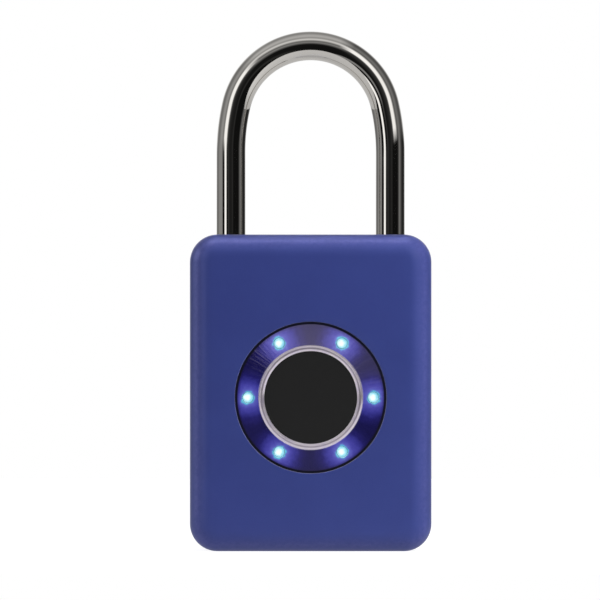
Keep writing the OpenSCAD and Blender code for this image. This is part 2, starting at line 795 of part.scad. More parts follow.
front_housing();
rear_housing();
rear_panel();
housing_gasket();
housing_screws();
lock_chassis();
chassis_cap();
cap_screws();
shackle();
shackle_bushes();
heel_pin();
shackle_spring();
latch_bolt();
drive_pinion();
motor_gearbox();
motor_can();
motor_leads();
main_board();
board_screws();
control_chips();
cable_connectors();
usb_socket();
port_cover();
light_ring();
ring_gasket();
led_emitters();
led_board();
ring_screws();
sensor_bezel();
sensor_disc();
sensor_module();
sensor_flex();
battery_cell();
battery_pad();
battery_leads();
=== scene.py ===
"""Looks of the fingerprint padlock: smooth shells, a bent chrome bar, a sensor ring with a painted lamp glow,
and a studio.
"""
import json
import math

import bmesh
import bpy
from mathutils import Matrix, Vector

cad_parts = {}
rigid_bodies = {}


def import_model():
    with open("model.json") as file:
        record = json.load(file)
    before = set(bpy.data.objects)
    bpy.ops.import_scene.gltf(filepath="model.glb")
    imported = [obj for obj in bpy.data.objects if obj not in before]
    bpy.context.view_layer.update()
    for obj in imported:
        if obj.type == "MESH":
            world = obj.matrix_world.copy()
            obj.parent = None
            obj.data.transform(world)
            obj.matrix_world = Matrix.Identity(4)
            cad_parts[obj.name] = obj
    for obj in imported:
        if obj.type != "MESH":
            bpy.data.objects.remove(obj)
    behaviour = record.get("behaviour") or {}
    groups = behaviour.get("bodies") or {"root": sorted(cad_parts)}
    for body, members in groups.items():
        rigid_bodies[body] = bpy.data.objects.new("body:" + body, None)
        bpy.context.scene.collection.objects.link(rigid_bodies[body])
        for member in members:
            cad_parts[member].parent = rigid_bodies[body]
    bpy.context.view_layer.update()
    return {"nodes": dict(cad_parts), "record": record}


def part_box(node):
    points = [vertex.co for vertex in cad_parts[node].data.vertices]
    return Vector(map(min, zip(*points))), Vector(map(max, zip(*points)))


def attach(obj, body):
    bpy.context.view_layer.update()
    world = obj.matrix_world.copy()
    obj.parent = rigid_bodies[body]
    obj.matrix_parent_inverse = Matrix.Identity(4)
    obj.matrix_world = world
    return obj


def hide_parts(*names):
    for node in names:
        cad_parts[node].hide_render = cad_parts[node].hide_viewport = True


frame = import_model()

MM = 0.001
SMOOTH_DEG = 35         # edges sharper than this stay sharp
WELD = 1e-7             # points closer than this become one, in metres
CUT_WELD = 1e-6         # the same after a boolean, which leaves slivers

# ---------------------------------------------------------------- sizes, from the frame
BODY_LO, BODY_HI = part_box("front_housing")
REAR_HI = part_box("rear_housing")[1]
BODY_W = BODY_HI.x - BODY_LO.x
BODY_H = BODY_HI.z
FRONT_Y = BODY_LO.y
REAR_Y = REAR_HI.y
CORNER_R = 4.9 * MM
EDGE_R = 4.0 * MM
WALL = 2.2 * MM
SEAM_Y = FRONT_Y + 16.0 * MM
SEAM_GAP = 0.1 * MM
SEAM_EDGE_R = 0.15 * MM
PANEL_LO, PANEL_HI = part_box("rear_panel")

BUSH_LO, BUSH_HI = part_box("shackle_bushes")
BUSH_R = (BUSH_HI.y - BUSH_LO.y) / 2
LEG_X = (BUSH_HI.x - BUSH_LO.x) / 2 - BUSH_R
ROD_R = 5.15 * MM / 2
SHACKLE_LO, SHACKLE_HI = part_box("shackle")

RING_LO, RING_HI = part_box("ring_gasket")
GASKET_PLAY = 0.03 * MM
RING_R = (RING_HI.x - RING_LO.x) / 2 + GASKET_PLAY
SENSOR_Z = (RING_HI.z + RING_LO.z) / 2
SENSOR_CENTRE = Vector((0, FRONT_Y, SENSOR_Z))
LENS_IN_R = 9.3 * MM
LENS_GAP = 0.35 * MM
LENS_OUT_R = RING_R - LENS_GAP
BEZEL_IN_R, BEZEL_OUT_R = 8.27 * MM, 9.22 * MM
# radius of the painted groove shade on the bezel's flat crown
BEZEL_SHADE_LINE_R = 8.78 * MM
LAMP_COUNT = 6
LAMP_CIRCLE_R = 11.15 * MM
LAMP_LO, LAMP_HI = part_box("led_emitters")
LAMP_WINDOW_R = 1.0 * MM


# ---------------------------------------------------------------- mesh helpers
def mesh_object(name, verts, faces, smooth_deg=SMOOTH_DEG):
    """A new object with smooth shading, except across edges sharper than smooth_deg."""
    mesh = bpy.data.meshes.new(name)
    mesh.from_pydata([tuple(v) for v in verts], [], faces)
    tidy_mesh(mesh)
    obj = bpy.data.objects.new(name, mesh)
    bpy.context.scene.collection.objects.link(obj)
    shade(obj, smooth_deg)
    return obj


def tidy_mesh(mesh, dist=WELD):
    """Merges doubled points and turns every face outwards."""
    bm = bmesh.new()
    bm.from_mesh(mesh)
    bmesh.ops.remove_doubles(bm, verts=bm.verts, dist=dist)
    bmesh.ops.dissolve_degenerate(bm, edges=bm.edges, dist=dist)
    bmesh.ops.recalc_face_normals(bm, faces=bm.faces)
    bm.to_mesh(mesh)
    bm.free()


def shade(obj, smooth_deg=SMOOTH_DEG):
    """Smooths the shading, but not across edges sharper than smooth_deg."""
    mesh = obj.data
    mesh.polygons.foreach_set("use_smooth", [True] * len(mesh.polygons))
    mesh.set_sharp_from_angle(angle=math.radians(smooth_deg))
    mesh.update()


def loops_to_faces(count, loops, closed_tube):
    """Quads between consecutive loops of count points; closed_tube joins the last loop to the first."""
    faces = []
    for i in range(loops if closed_tube else loops - 1):
        a, b = i * count, ((i + 1) % loops) * count
        for k in range(count):
            n = (k + 1) % count
            faces.append((a + k, a + n, b + n, b + k))
    return faces


def capped_tube(count, loops):
    """Quads along a tube of loops, and a flat face at each of its ends."""
    last = (loops - 1) * count
    ends = [tuple(range(count)), tuple(range(last, last + count))]
    return loops_to_faces(count, loops, closed_tube=False) + ends


def crowned_tube(count, loops):
    """Quads along a tube of loops, a flat face at its last loop, and triangles from its first loop to a tip,
    which is the point that follows the loops' own points."""
    last, tip = (loops - 1) * count, loops * count
    crown = [(k, tip, (k + 1) % count) for k in range(count)]
    return loops_to_faces(count, loops, closed_tube=False) + [tuple(range(last, tip))] + crown


def turns(sides):
    """Angles of the points round a circle."""
    return [2 * math.pi * k / sides for k in range(sides)]


def turned(name, profile, segments, smooth_deg=SMOOTH_DEG):
    """A closed ring turned round the sensor axis: profile is (radius, depth behind the face)."""
    verts = [SENSOR_CENTRE + Vector((r * math.cos(a), depth, r * math.sin(a)))
             for r, depth in profile for a in turns(segments)]
    faces = loops_to_faces(segments, len(profile), closed_tube=True)
    return mesh_object(name, verts, faces, smooth_deg)


def arc(cx, cy, r, a0, a1, steps):
    """Points along an arc, angles in degrees."""
    for i in range(steps + 1):
        a = math.radians(a0 + (a1 - a0) * i / steps)
        yield (cx + r * math.cos(a), cy + r * math.sin(a))


def cut(obj, cutter, operation="DIFFERENCE"):
    """Applies a boolean with cutter, then removes the cutter."""
    mod = obj.modifiers.new("cut", "BOOLEAN")
    mod.object = cutter
    mod.operation = operation
    mod.solver = "EXACT"
    bpy.context.view_layer.update()
    evaluated = obj.evaluated_get(bpy.context.evaluated_depsgraph_get())
    cut_mesh = bpy.data.meshes.new_from_object(evaluated)
    tidy_mesh(cut_mesh, CUT_WELD)
    obj.modifiers.remove(mod)
    obj.data = cut_mesh
    bpy.data.objects.remove(cutter)
    shade(obj)


def box_cutter(lo, hi):
    """A plain box to cut with, from its lowest to its highest corner."""
    verts = [(x, y, z) for x in (lo[0], hi[0]) for y in (lo[1], hi[1]) for z in (lo[2], hi[2])]
    faces = [(0, 1, 3, 2), (4, 6, 7, 5), (0, 4, 5, 1), (2, 3, 7, 6), (0, 2, 6, 4), (1, 5, 7, 3)]
    return mesh_object("cutter", verts, faces)


def prism(name, points, axis, start, end):
    """A closed prism along axis y or z: points are 2-D, in X and the other one of the two."""
    def at(p, depth):
        return {"y": (p[0], depth, p[1]), "z": (p[0], p[1], depth)}[axis]
    verts = [at(p, start) for p in points] + [at(p, end) for p in points]
    return mesh_object(name, verts, capped_tube(len(points), 2))


def rounded_rect(cx, cy, w, h, r, steps=8):
    """Points of a rectangle with round corners, each corner in so many steps."""
    points = []
    for sx, sy, a0 in ((1, 1, 0), (-1, 1, 90), (-1, -1, 180), (1, -1, 270)):
        points += arc(cx + sx * (w / 2 - r), cy + sy * (h / 2 - r), r, a0, a0 + 90, steps)
    return points


def circle(cx, cy, r, steps):
    """Points of a circle, without a doubled one where it closes."""
    return list(arc(cx, cy, r, 0, 360 - 360 / steps, steps - 1))


def joined(objects, name):
    """One object from several closed ones."""
    bm = bmesh.new()
    for obj in objects:
        bm.from_mesh(obj.data)
        bpy.data.objects.remove(obj)
    mesh = bpy.data.meshes.new(name)
    bm.to_mesh(mesh)
    bm.free()
    obj = bpy.data.objects.new(name, mesh)
    bpy.context.scene.collection.objects.link(obj)
    shade(obj)
    return obj


# ---------------------------------------------------------------- shells
CORNER_STEPS = 14
SIDE_STEPS = (22, 30)       # points along the housing's short and long sides

# X and Z of the screws; the long ones, given first, have twins on the left
UPPER_SCREW, LOWER_SCREW = (8.4 * MM, 43 * MM), (LEG_X, 7.6 * MM)
BOARD_SCREWS = ((-16.4 * MM, 30 * MM), (16.4 * MM, 30 * MM), (0, 49 * MM))
RING_SCREW_R = 15.9 * MM
RING_SCREWS = [(RING_SCREW_R * math.cos(a), SENSOR_Z + RING_SCREW_R * math.sin(a))
               for a in (math.radians(d) for d in (90, 210, 330))]
CLAMP_Y = 7.4 * MM          # where front posts and rear bosses meet

PORT_Y = -4.0 * MM
HINGE_X, HINGE_Z = 7.4 * MM, 0.6 * MM


def outline(inset):
    """Rounded outline of the housing in X and Z, moved inwards by inset; always the same number of points."""
    r = CORNER_R - inset
    a, b = BODY_W / 2 - CORNER_R, BODY_H / 2 - CORNER_R
    corners = [list(arc(sx * a, BODY_H / 2 + sz * b, r, 90 * i, 90 * i + 90, CORNER_STEPS))
               for i, (sx, sz) in enumerate(((1, 1), (-1, 1), (-1, -1), (1, -1)))]
    points = []
    for i, corner in enumerate(corners):
        start, end = Vector(corner[-1]), Vector(corners[(i + 1) % 4][0])
        steps = SIDE_STEPS[i % 2]
        points += corner + [tuple(start.lerp(end, k / steps)) for k in range(1, steps)]
    return points


def shell_loops(profile, y_of):
    """Loops of points from (inset, depth) pairs; y_of turns a depth into Y."""
    return [[(x, y_of(depth), z) for x, z in outline(inset)] for inset, depth in profile]


def rounding():
    """From the flat face to the side wall: (inset, depth)."""
    steps = 12
    return [(EDGE_R * (1 - math.sin(t)), EDGE_R * (1 - math.cos(t)))
            for t in (math.pi / 2 * i / steps for i in range(steps + 1))]


def face_rings(loop, y, centre, radius, rings):
    """Loops that turn an outline step by step into a circle, from the outline inwards."""
    result = []
    for i in range(1, rings + 1):
        t = i / rings
        ring = []
        for x, _, z in loop:
            d = Vector((x - centre[0], z - centre[1]))
            end = Vector(centre) + d.normalized() * radius
            p = Vector((x, z)).lerp(end, t)
            ring.append((p.x, y, p.y))
        result.append(ring)
    return result


def outer_side(depth, steps):
    """From the flat face along the side wall to a fine break at the seam: (inset, depth)."""
    straight = depth - SEAM_EDGE_R - EDGE_R
    side = rounding() + [(0, EDGE_R + straight * (i / steps)) for i in range(1, steps + 1)]
    side += [(SEAM_EDGE_R * (1 - math.cos(t)), depth - SEAM_EDGE_R + SEAM_EDGE_R * math.sin(t))
             for t in (math.pi / 6, math.pi / 3, math.pi / 2)]
    return side


def front_shell():
    """Open-backed shell with the round sensor opening and soft outer edges."""
    depth = SEAM_Y - FRONT_Y
    fine, inner_r = 0.1 * MM, 0.3 * MM
    inner_side = [(WALL - fine, depth), (WALL, depth - fine), (WALL, WALL + inner_r), (WALL + inner_r, WALL)]
    loops = shell_loops(outer_side(depth, 4) + inner_side, lambda d: FRONT_Y + d)
    centre = (0, SENSOR_Z)
    lip_r, lip_steps = 0.12 * MM, 6
    front = face_rings(loops[0], FRONT_Y, centre, RING_R + lip_r, 7)
    lip = []
    for i in range(1, lip_steps + 1):
        t = math.pi / 2 * i / lip_steps
        r = RING_R + lip_r * (1 - math.sin(t))
        y = FRONT_Y + lip_r * (1 - math.cos(t))
        lip.append([place_on_circle(p, centre, r, y) for p in front[-1]])
    rear = face_rings(loops[-1], FRONT_Y + WALL, centre, RING_R, 4)
    ordered = lip[::-1] + front[::-1] + loops + rear
    verts = [p for loop in ordered for p in loop]
    faces = loops_to_faces(len(ordered[0]), len(ordered), closed_tube=True)
    shell = mesh_object("front_shell", verts, faces)
    cut(shell, shackle_holes())
    cut(shell, port_cutter())
    add_posts(shell, front_posts())
    return shell


def add_posts(shell, posts):
    """Adds round posts to a shell, then bores them. A post is (x, z, radius, start, end) and its bores, which
    are (radius, start, end)."""
    rods = [prism("rod", circle(x, z, r, 40), "y", start, end) for (x, z, r, start, end), _ in posts]
    bores = [prism("bore", circle(x, z, r, 32), "y", start, end)
             for (x, z, *_), holes in posts for r, start, end in holes]
    cut(shell, joined(rods, "rods"), "UNION")
    for bore in bores:
        cut(shell, bore)


def front_posts():
    """Posts for the long screws, the board screws and the light ring's screws. Three of the long ones' posts
    stop at the chassis, and the fourth reaches the rear boss."""
    root = FRONT_Y + WALL - 0.4 * MM
    chassis_y, column_y = -4.45 * MM, -4.05 * MM
    pillar_r, screw_r = 2.4 * MM, 1.0 * MM
    posts = []
    for side in (-1, 1):
        for (x, z), end in ((UPPER_SCREW, chassis_y), (LOWER_SCREW, CLAMP_Y if side > 0 else column_y)):
            posts.append(((side * x, z, pillar_r, root, end), [(screw_r, root + MM, CLAMP_Y + MM)]))
    for places, r, height, bore_r, bore_from, bore_to in (
            (BOARD_SCREWS, 1.6 * MM, 4.35 * MM, 0.7 * MM, 0.8 * MM, 5 * MM),
            (RING_SCREWS, 1.3 * MM, 2.85 * MM, 0.6 * MM, 0.3 * MM, 4 * MM)):
        for x, z in places:
            posts.append(((x, z, r, root, FRONT_Y + height), [(bore_r, root + bore_from, FRONT_Y + bore_to)]))
    return posts


def rear_posts():
    """Bosses for the long screws: each has a bore for the shank and a wider one for the head."""
    boss_r, shank_r, head_r, head_depth = 3.1 * MM, 1.15 * MM, 2.1 * MM, 2.45 * MM
    start, end = CLAMP_Y + 0.1 * MM, REAR_Y - WALL + 0.2 * MM
    bores = [(shank_r, CLAMP_Y - MM, REAR_Y), (head_r, REAR_Y - head_depth, REAR_Y)]
    return [((side * x, z, boss_r, start, end), bores)
            for side in (-1, 1) for x, z in (UPPER_SCREW, LOWER_SCREW)]


def place_on_circle(p, centre, radius, y):
    """The point at y on a circle round centre, in the direction of p."""
    d = Vector((p[0] - centre[0], p[2] - centre[1])).normalized() * radius
    return (centre[0] + d.x, y, centre[1] + d.y)


def shackle_holes():
    """Cutters for two round holes in the top wall, each with a fine chamfer."""
    chamfer, play = 0.2 * MM, 0.05 * MM
    r = BUSH_R + play
    steps = 72
    rings = ((r, BODY_H - WALL - MM), (r, BODY_H - chamfer),
             (r + chamfer, BODY_H), (r + chamfer, BODY_H + MM))
    cutters = []
    for x in (-LEG_X, LEG_X):
        verts = [(px, py, z) for radius, z in rings for px, py in circle(x, 0, radius, steps)]
        cutters.append(mesh_object("cutter", verts, capped_tube(steps, len(rings))))
    return joined(cutters, "cutter")


def port_cutter():
    """Pocket for the port cover in the base, with the plug slot above it and a bore for each trunnion."""
    pocket_w, pocket_t, pocket_r, pocket_top = 16.4 * MM, 5.2 * MM, 0.6 * MM, 1.15 * MM
    slot_w, slot_t, slot_r, slot_top = 9.4 * MM, 3.6 * MM, 1.6 * MM, 4.0 * MM
    pocket = prism("cutter", rounded_rect(0, PORT_Y, pocket_w, pocket_t, pocket_r), "z", -MM, pocket_top)
    slot = prism("cutter", rounded_rect(0, PORT_Y, slot_w, slot_t, slot_r), "z", MM, slot_top)
    cut(pocket, slot, "UNION")
    bore_r, reach = 0.36 * MM, 3.1 * MM
    for start, end in ((PORT_Y - reach, PORT_Y), (PORT_Y, PORT_Y + reach)):
        cut(pocket, prism("bore", circle(HINGE_X, HINGE_Z, bore_r, 24), "y", start, end), "UNION")
    return pocket


def rear_shell():
    """Rear half with soft outer edges, a pocket for the panel and a lip that enters the front half."""
    depth = REAR_Y - SEAM_Y - SEAM_GAP
    fine = 0.1 * MM
    groove_out, groove_in, groove_end = WALL - 0.9 * MM, WALL - 0.2 * MM, depth - 0.6 * MM
    lip_out, lip_in, lip_end = WALL + 0.12 * MM, WALL + 1.02 * MM, depth + SEAM_GAP + 1.5 * MM
    inner_side = [(groove_out, depth), (groove_out, groove_end), (groove_in, groove_end), (groove_in, depth),
                  (lip_out, depth), (lip_out, lip_end - fine), (lip_out + fine, lip_end),
                  (lip_in - fine, lip_end), (lip_in, lip_end - fine), (lip_in, WALL)]
    loops = shell_loops(outer_side(depth, 2) + inner_side, lambda d: REAR_Y - d)
    verts = [p for loop in loops for p in loop]
    shell = mesh_object("rear_shell", verts, capped_tube(len(loops[0]), len(loops)))
    grow, under, pocket_r = 0.1 * MM, 0.05 * MM, 3.0 * MM
    w, h = PANEL_HI.x - PANEL_LO.x + 2 * grow, PANEL_HI.z - PANEL_LO.z + 2 * grow
    pocket = rounded_rect(0, (PANEL_LO.z + PANEL_HI.z) / 2, w, h, pocket_r, 12)
    cut(shell, prism("cutter", pocket, "y", PANEL_LO.y - under, REAR_Y + MM))
    # the lip stops under the chassis, which fills the top of the cavity
    inner, lip_top = BODY_W / 2 - WALL, 37.6 * MM
    cut(shell, box_cutter((-inner, SEAM_Y - 2 * MM, lip_top), (inner, REAR_Y - WALL, BODY_H - WALL)))
    add_posts(shell, rear_posts())
    return shell


def soft_plate(name, lo, hi, r, edge, axis):
    """Rounded plate whose face at the high end of axis has a softened edge."""
    i, j, k = {"y": (0, 2, 1), "z": (0, 1, 2)}[axis]
    cx, cy = (lo[i] + hi[i]) / 2, (lo[j] + hi[j]) / 2
    w, h = hi[i] - lo[i], hi[j] - lo[j]
    levels = [(0, lo[k]), (0, hi[k] - edge)]
    levels += [(edge * (1 - math.cos(t)), hi[k] - edge + edge * math.sin(t))
               for t in (math.pi / 8 * n for n in range(1, 5))]
    verts = []
    for inset, level in levels:
        for u, v in rounded_rect(cx, cy, w - 2 * inset, h - 2 * inset, r - inset, 12):
            verts.append({"y": (u, level, v), "z": (u, v, level)}[axis])
    return mesh_object(name, verts, capped_tube(len(verts) // len(levels), len(levels)))


def soft_plate_below(name, lo, hi, r, edge):
    """Rounded plate whose underside has the softened edge: built upside down, then mirrored."""
    plate = soft_plate(name, (lo[0], lo[1], -hi[2]), (hi[0], hi[1], -lo[2]), r, edge, "z")
    plate.data.transform(Matrix.Diagonal((1, 1, -1, 1)))
    tidy_mesh(plate.data)
    return plate


# ---------------------------------------------------------------- shackle
SIDE_BEND_R = 37.4 * MM
SIDE_BEND_DEG = 12
LINK = 0.4 * MM             # straight stretch between a side bend and the bow


def shackle_path():
    """Points (x, z) of the bar's centre line from the heel to the toe, and its radius at each."""
    c, s = math.cos(math.radians(SIDE_BEND_DEG)), math.sin(math.radians(SIDE_BEND_DEG))
    bow_r = (LEG_X - SIDE_BEND_R * (1 - c) - LINK * s) / c
    bow_z = SHACKLE_HI.z - ROD_R - bow_r
    bend_z = bow_z - (SIDE_BEND_R - bow_r) * s - LINK * c
    heel = SHACKLE_LO.z
    neck_top, neck_r, collar = 38 * MM, 1.75 * MM, 3 * MM
    chamfer = 0.5 * MM
    toe = BODY_H - 11 * MM
    straight_steps, bend_steps, bow_steps = 24, 10, 96
    bends = [math.radians(SIDE_BEND_DEG) * i / bend_steps for i in range(bend_steps + 1)]
    bow = 180 - 2 * SIDE_BEND_DEG
    path = [(-LEG_X, heel, ROD_R - chamfer), (-LEG_X, heel + chamfer, ROD_R),
            (-LEG_X, heel + collar, ROD_R), (-LEG_X, heel + collar, neck_r),
            (-LEG_X, neck_top, neck_r), (-LEG_X, neck_top, ROD_R)]
    path += [(-LEG_X, neck_top + (bend_z - neck_top) * i / straight_steps, ROD_R)
             for i in range(1, straight_steps)]
    path += [(SIDE_BEND_R - LEG_X - SIDE_BEND_R * math.cos(a), bend_z + SIDE_BEND_R * math.sin(a), ROD_R)
             for a in bends]
    path += [(-bow_r * math.cos(a), bow_z + bow_r * math.sin(a), ROD_R)
             for a in (math.radians(SIDE_BEND_DEG + bow * i / bow_steps) for i in range(bow_steps + 1))]
    path += [(LEG_X - SIDE_BEND_R + SIDE_BEND_R * math.cos(a), bend_z + SIDE_BEND_R * math.sin(a), ROD_R)
             for a in reversed(bends)]
    path += [(LEG_X, bend_z + (toe + chamfer - bend_z) * i / straight_steps, ROD_R)
             for i in range(1, straight_steps + 1)]
    path += [(LEG_X, toe, ROD_R - chamfer)]
    return path


def shackle_bar():
    """The bar, swept along its path, with the bolt's notch in its toe."""
    sides = 96
    path = shackle_path()
    verts = []
    for i, (x, z, r) in enumerate(path):
        before = path[max(i - 1, 0)]
        after = path[min(i + 1, len(path) - 1)]
        along = Vector((after[0] - before[0], 0, after[1] - before[1])).normalized()
        across = Vector((-along.z, 0, along.x))
        verts += [Vector((x, 0, z)) + across * (r * math.cos(a)) + Vector((0, r * math.sin(a), 0))
                  for a in turns(sides)]
    bar = mesh_object("shackle_bar", verts, capped_tube(sides, len(path)))
    notch_x, notch_depth, notch_z = LEG_X - ROD_R, 1.75 * MM, (48.3 * MM, 51.7 * MM)
    notch = box_cutter((notch_x - MM, -2 * ROD_R, notch_z[0]), (notch_x + notch_depth, 2 * ROD_R, notch_z[1]))
    cut(bar, notch)
    return bar


# ---------------------------------------------------------------- sensor and light ring
def lamp_centres():
    """X and Z of each lamp."""
    for i in range(LAMP_COUNT):
        a = 2 * math.pi * i / LAMP_COUNT
        yield (LAMP_CIRCLE_R * math.cos(a), SENSOR_Z + LAMP_CIRCLE_R * math.sin(a))


def ring_lens():
    """Tinted ring with a softly rounded rim, whose face dips towards the bezel, and six lamp windows."""
    lo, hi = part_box("light_ring")
    flange_r, flange_front, back = (hi.x - lo.x) / 2, WALL + 0.05 * MM, hi.y - FRONT_Y
    hollow_r, hollow_front = LENS_OUT_R - 0.7 * MM, 2.2 * MM
    inner_depth, rise = 0.8 * MM, 0.65 * MM
    slope = rise / (LENS_OUT_R - LENS_IN_R)
    face = lambda r: inner_depth - (r - LENS_IN_R) * slope
    soft, steps = 0.12 * MM, 10
    width = LENS_OUT_R - LENS_IN_R - 2 * soft
    radii = [LENS_IN_R + soft + width * i / steps for i in range(steps + 1)]
    profile = [(LENS_IN_R, face(LENS_IN_R) + soft)] + [(r, face(r)) for r in radii]
    profile += [(LENS_OUT_R, face(LENS_OUT_R) + soft), (LENS_OUT_R, flange_front), (flange_r, flange_front),
                (flange_r, back), (hollow_r, back), (hollow_r, hollow_front), (LENS_IN_R, hollow_front)]
    lens = turned("ring_lens", profile, 288)
    windows = [prism("cutter", circle(x, z, LAMP_WINDOW_R, 48), "y", FRONT_Y - MM, FRONT_Y + 4 * MM)
               for x, z in lamp_centres()]
    cut(lens, joined(windows, "cutter"))
    return lens


def lamp_domes():
    """Six small lamps with domed tips that stand in the ring's windows."""
    r, dome = 0.92 * MM, 0.4 * MM
    tip, back = LAMP_LO.y, LAMP_HI.y
    steps, sides = 8, 40
    rings = [(r * math.sin(t), tip + dome * (1 - math.cos(t)))
             for t in (math.pi / 2 * i / steps for i in range(1, steps + 1))]
    rings += [(r, back)]
    lamps = []
    for x, z in lamp_centres():
        verts = [(x + radius * math.cos(a), y, z + radius * math.sin(a))
                 for radius, y in rings for a in turns(sides)]
        verts.append((x, tip, z))
        lamps.append(mesh_object("lamp", verts, crowned_tube(sides, len(rings))))
    return joined(lamps, "lamp_domes")


def bezel_ring():
    """Ring round the sensor: chamfered inside, flat crown, rounded outer edge, and a foot behind the lens."""
    lo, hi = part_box("sensor_bezel")
    foot_r, foot_front = (hi.x - lo.x) / 2, 2.25 * MM
    top, back = lo.y - FRONT_Y, hi.y - FRONT_Y
    r_in, r_out = BEZEL_IN_R, BEZEL_OUT_R
    inner = [(r_in, 1.2 * MM), (r_in, 0.42 * MM)]
    inner += [(r_in + 0.06 * MM, 0.34 * MM), (r_in + 0.26 * MM, top + 0.05 * MM), (r_in + 0.32 * MM, top)]
    outer = [(r_out - 0.26 * MM, top), (r_out - 0.2 * MM, top + 0.03 * MM),
             (r_out - 0.03 * MM, top + 0.24 * MM), (r_out, top + 0.32 * MM)]
    foot = [(r_out, foot_front), (foot_r, foot_front), (foot_r, back), (r_in, back)]
    return turned("bezel_ring", inner + outer + foot, 256, smooth_deg=28)


def sensor_plate():
    """Flat touch plate with a softly rounded rim."""
    lo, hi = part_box("sensor_disc")
    r = (hi.x - lo.x) / 2
    top, back = lo.y - FRONT_Y, hi.y - FRONT_Y
    soft = 0.12 * MM
    rings = [(r * f, top) for f in (0.25, 0.5, 0.75, 0.92)]
    rings += [(r - soft * (1 - math.sin(t)), top + soft * (1 - math.cos(t)))
              for t in (math.pi / 8 * n for n in range(5))]
    rings += [(r, back)]
    sides = 192
    verts = [SENSOR_CENTRE + Vector((radius * math.cos(a), d, radius * math.sin(a)))
             for radius, d in rings for a in turns(sides)]
    verts.append(SENSOR_CENTRE + Vector((0, top, 0)))
    return mesh_object("sensor_plate", verts, crowned_tube(sides, len(rings)))


def gasket_ring():
    """Black seal in the gap round the lens, with a thin lip over the lens's edge."""
    lo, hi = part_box("ring_gasket")
    top, back = lo.y - FRONT_Y, hi.y - FRONT_Y
    r_in, r_out = LENS_OUT_R + GASKET_PLAY, RING_R - GASKET_PLAY
    soft = 0.1 * MM
    lip_in, lip_t = LENS_OUT_R - 0.13 * MM, 0.06 * MM
    profile = [(r_in, top + lip_t), (lip_in, top + lip_t), (lip_in, top + lip_t / 2),
               (lip_in + lip_t / 2, top), (r_out - soft, top), (r_out - soft * 0.3, top + soft * 0.3),
               (r_out, top + soft), (r_out, back), (r_in, back)]
    return turned("gasket_ring", profile, 256)


# ---------------------------------------------------------------- port cover and bushes
def port_flap():
    """Rubber cover: a soft-edged plate with a nick for a fingernail, its plug, hinge bead and trunnions."""
    lo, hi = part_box("port_cover")
    half_t = 2.3 * MM
    plate_lo = Vector((-HINGE_X, PORT_Y - half_t, 0.15 * MM))
    plate_hi = Vector((HINGE_X, PORT_Y + half_t, 1.0 * MM))
    plate = soft_plate_below("port_flap", plate_lo, plate_hi, 0.5 * MM, 0.2 * MM)
    plug_lo, plug_hi = (-4.4 * MM, PORT_Y - 1.5 * MM, 0.8 * MM), (4.4 * MM, PORT_Y + 1.5 * MM, 1.8 * MM)
    cut(plate, soft_plate("plug", plug_lo, plug_hi, 1.4 * MM, 0.3 * MM, "z"), "UNION")
    for name, r, sides, start, end in (("bead", 0.48 * MM, 32, plate_lo.y, plate_hi.y),
                                       ("trunnion", 0.3 * MM, 24, lo.y, hi.y)):
        cut(plate, prism(name, circle(HINGE_X, HINGE_Z, r, sides), "y", start, end), "UNION")
    nick_r, nick_depth = 0.9 * MM, 0.55 * MM
    cut(plate, prism("cutter", circle(-HINGE_X, PORT_Y, nick_r, 32), "z", -MM, nick_depth))
    return plate


def charging_socket():
    """Metal socket with rounded ends, open towards the base, and a contact tongue inside."""
    lo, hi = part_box("usb_socket")
    cy = (lo.y + hi.y) / 2
    w, t = hi.x - lo.x, hi.y - lo.y
    skin, rim = 0.3 * MM, 0.1 * MM
    rows = [(0, hi.z), (0, lo.z + rim), (rim, lo.z), (skin - 0.05 * MM, lo.z), (skin, lo.z + rim),
            (skin, hi.z - MM)]
    verts = [(u, v, z) for inset, z in rows
             for u, v in rounded_rect(0, cy, w - 2 * inset, t - 2 * inset, t / 2 - inset - 0.01 * MM, 12)]
    socket = mesh_object("socket", verts, capped_tube(len(verts) // len(rows), len(rows)))
    blade_w, blade_t = 3.3 * MM, 0.35 * MM
    blade = soft_plate_below("blade", (-blade_w, cy - blade_t, lo.z + 0.6 * MM),
                             (blade_w, cy + blade_t, hi.z - 0.5 * MM), 0.3 * MM, 0.15 * MM)
    cut(socket, blade, "UNION")
    return socket


def bush_rings():
    """Two guide bushes with a soft inner mouth."""
    r_in, soft, fine = ROD_R + 0.07 * MM, 0.25 * MM, 0.1 * MM
    sides = 72
    low, top = BUSH_LO.z, BUSH_HI.z
    rings = []
    for x in (-LEG_X, LEG_X):
        profile = [(r_in, low), (r_in, top - soft), (r_in + soft * 0.3, top - soft * 0.3), (r_in + soft, top),
                   (BUSH_R - fine, top), (BUSH_R, top - fine), (BUSH_R, low)]
        verts = [(x + r * math.cos(a), r * math.sin(a), z) for r, z in profile for a in turns(sides)]
        rings.append(mesh_object("ring", verts, loops_to_faces(sides, len(profile), closed_tube=True)))
    return joined(rings, "bush_rings")


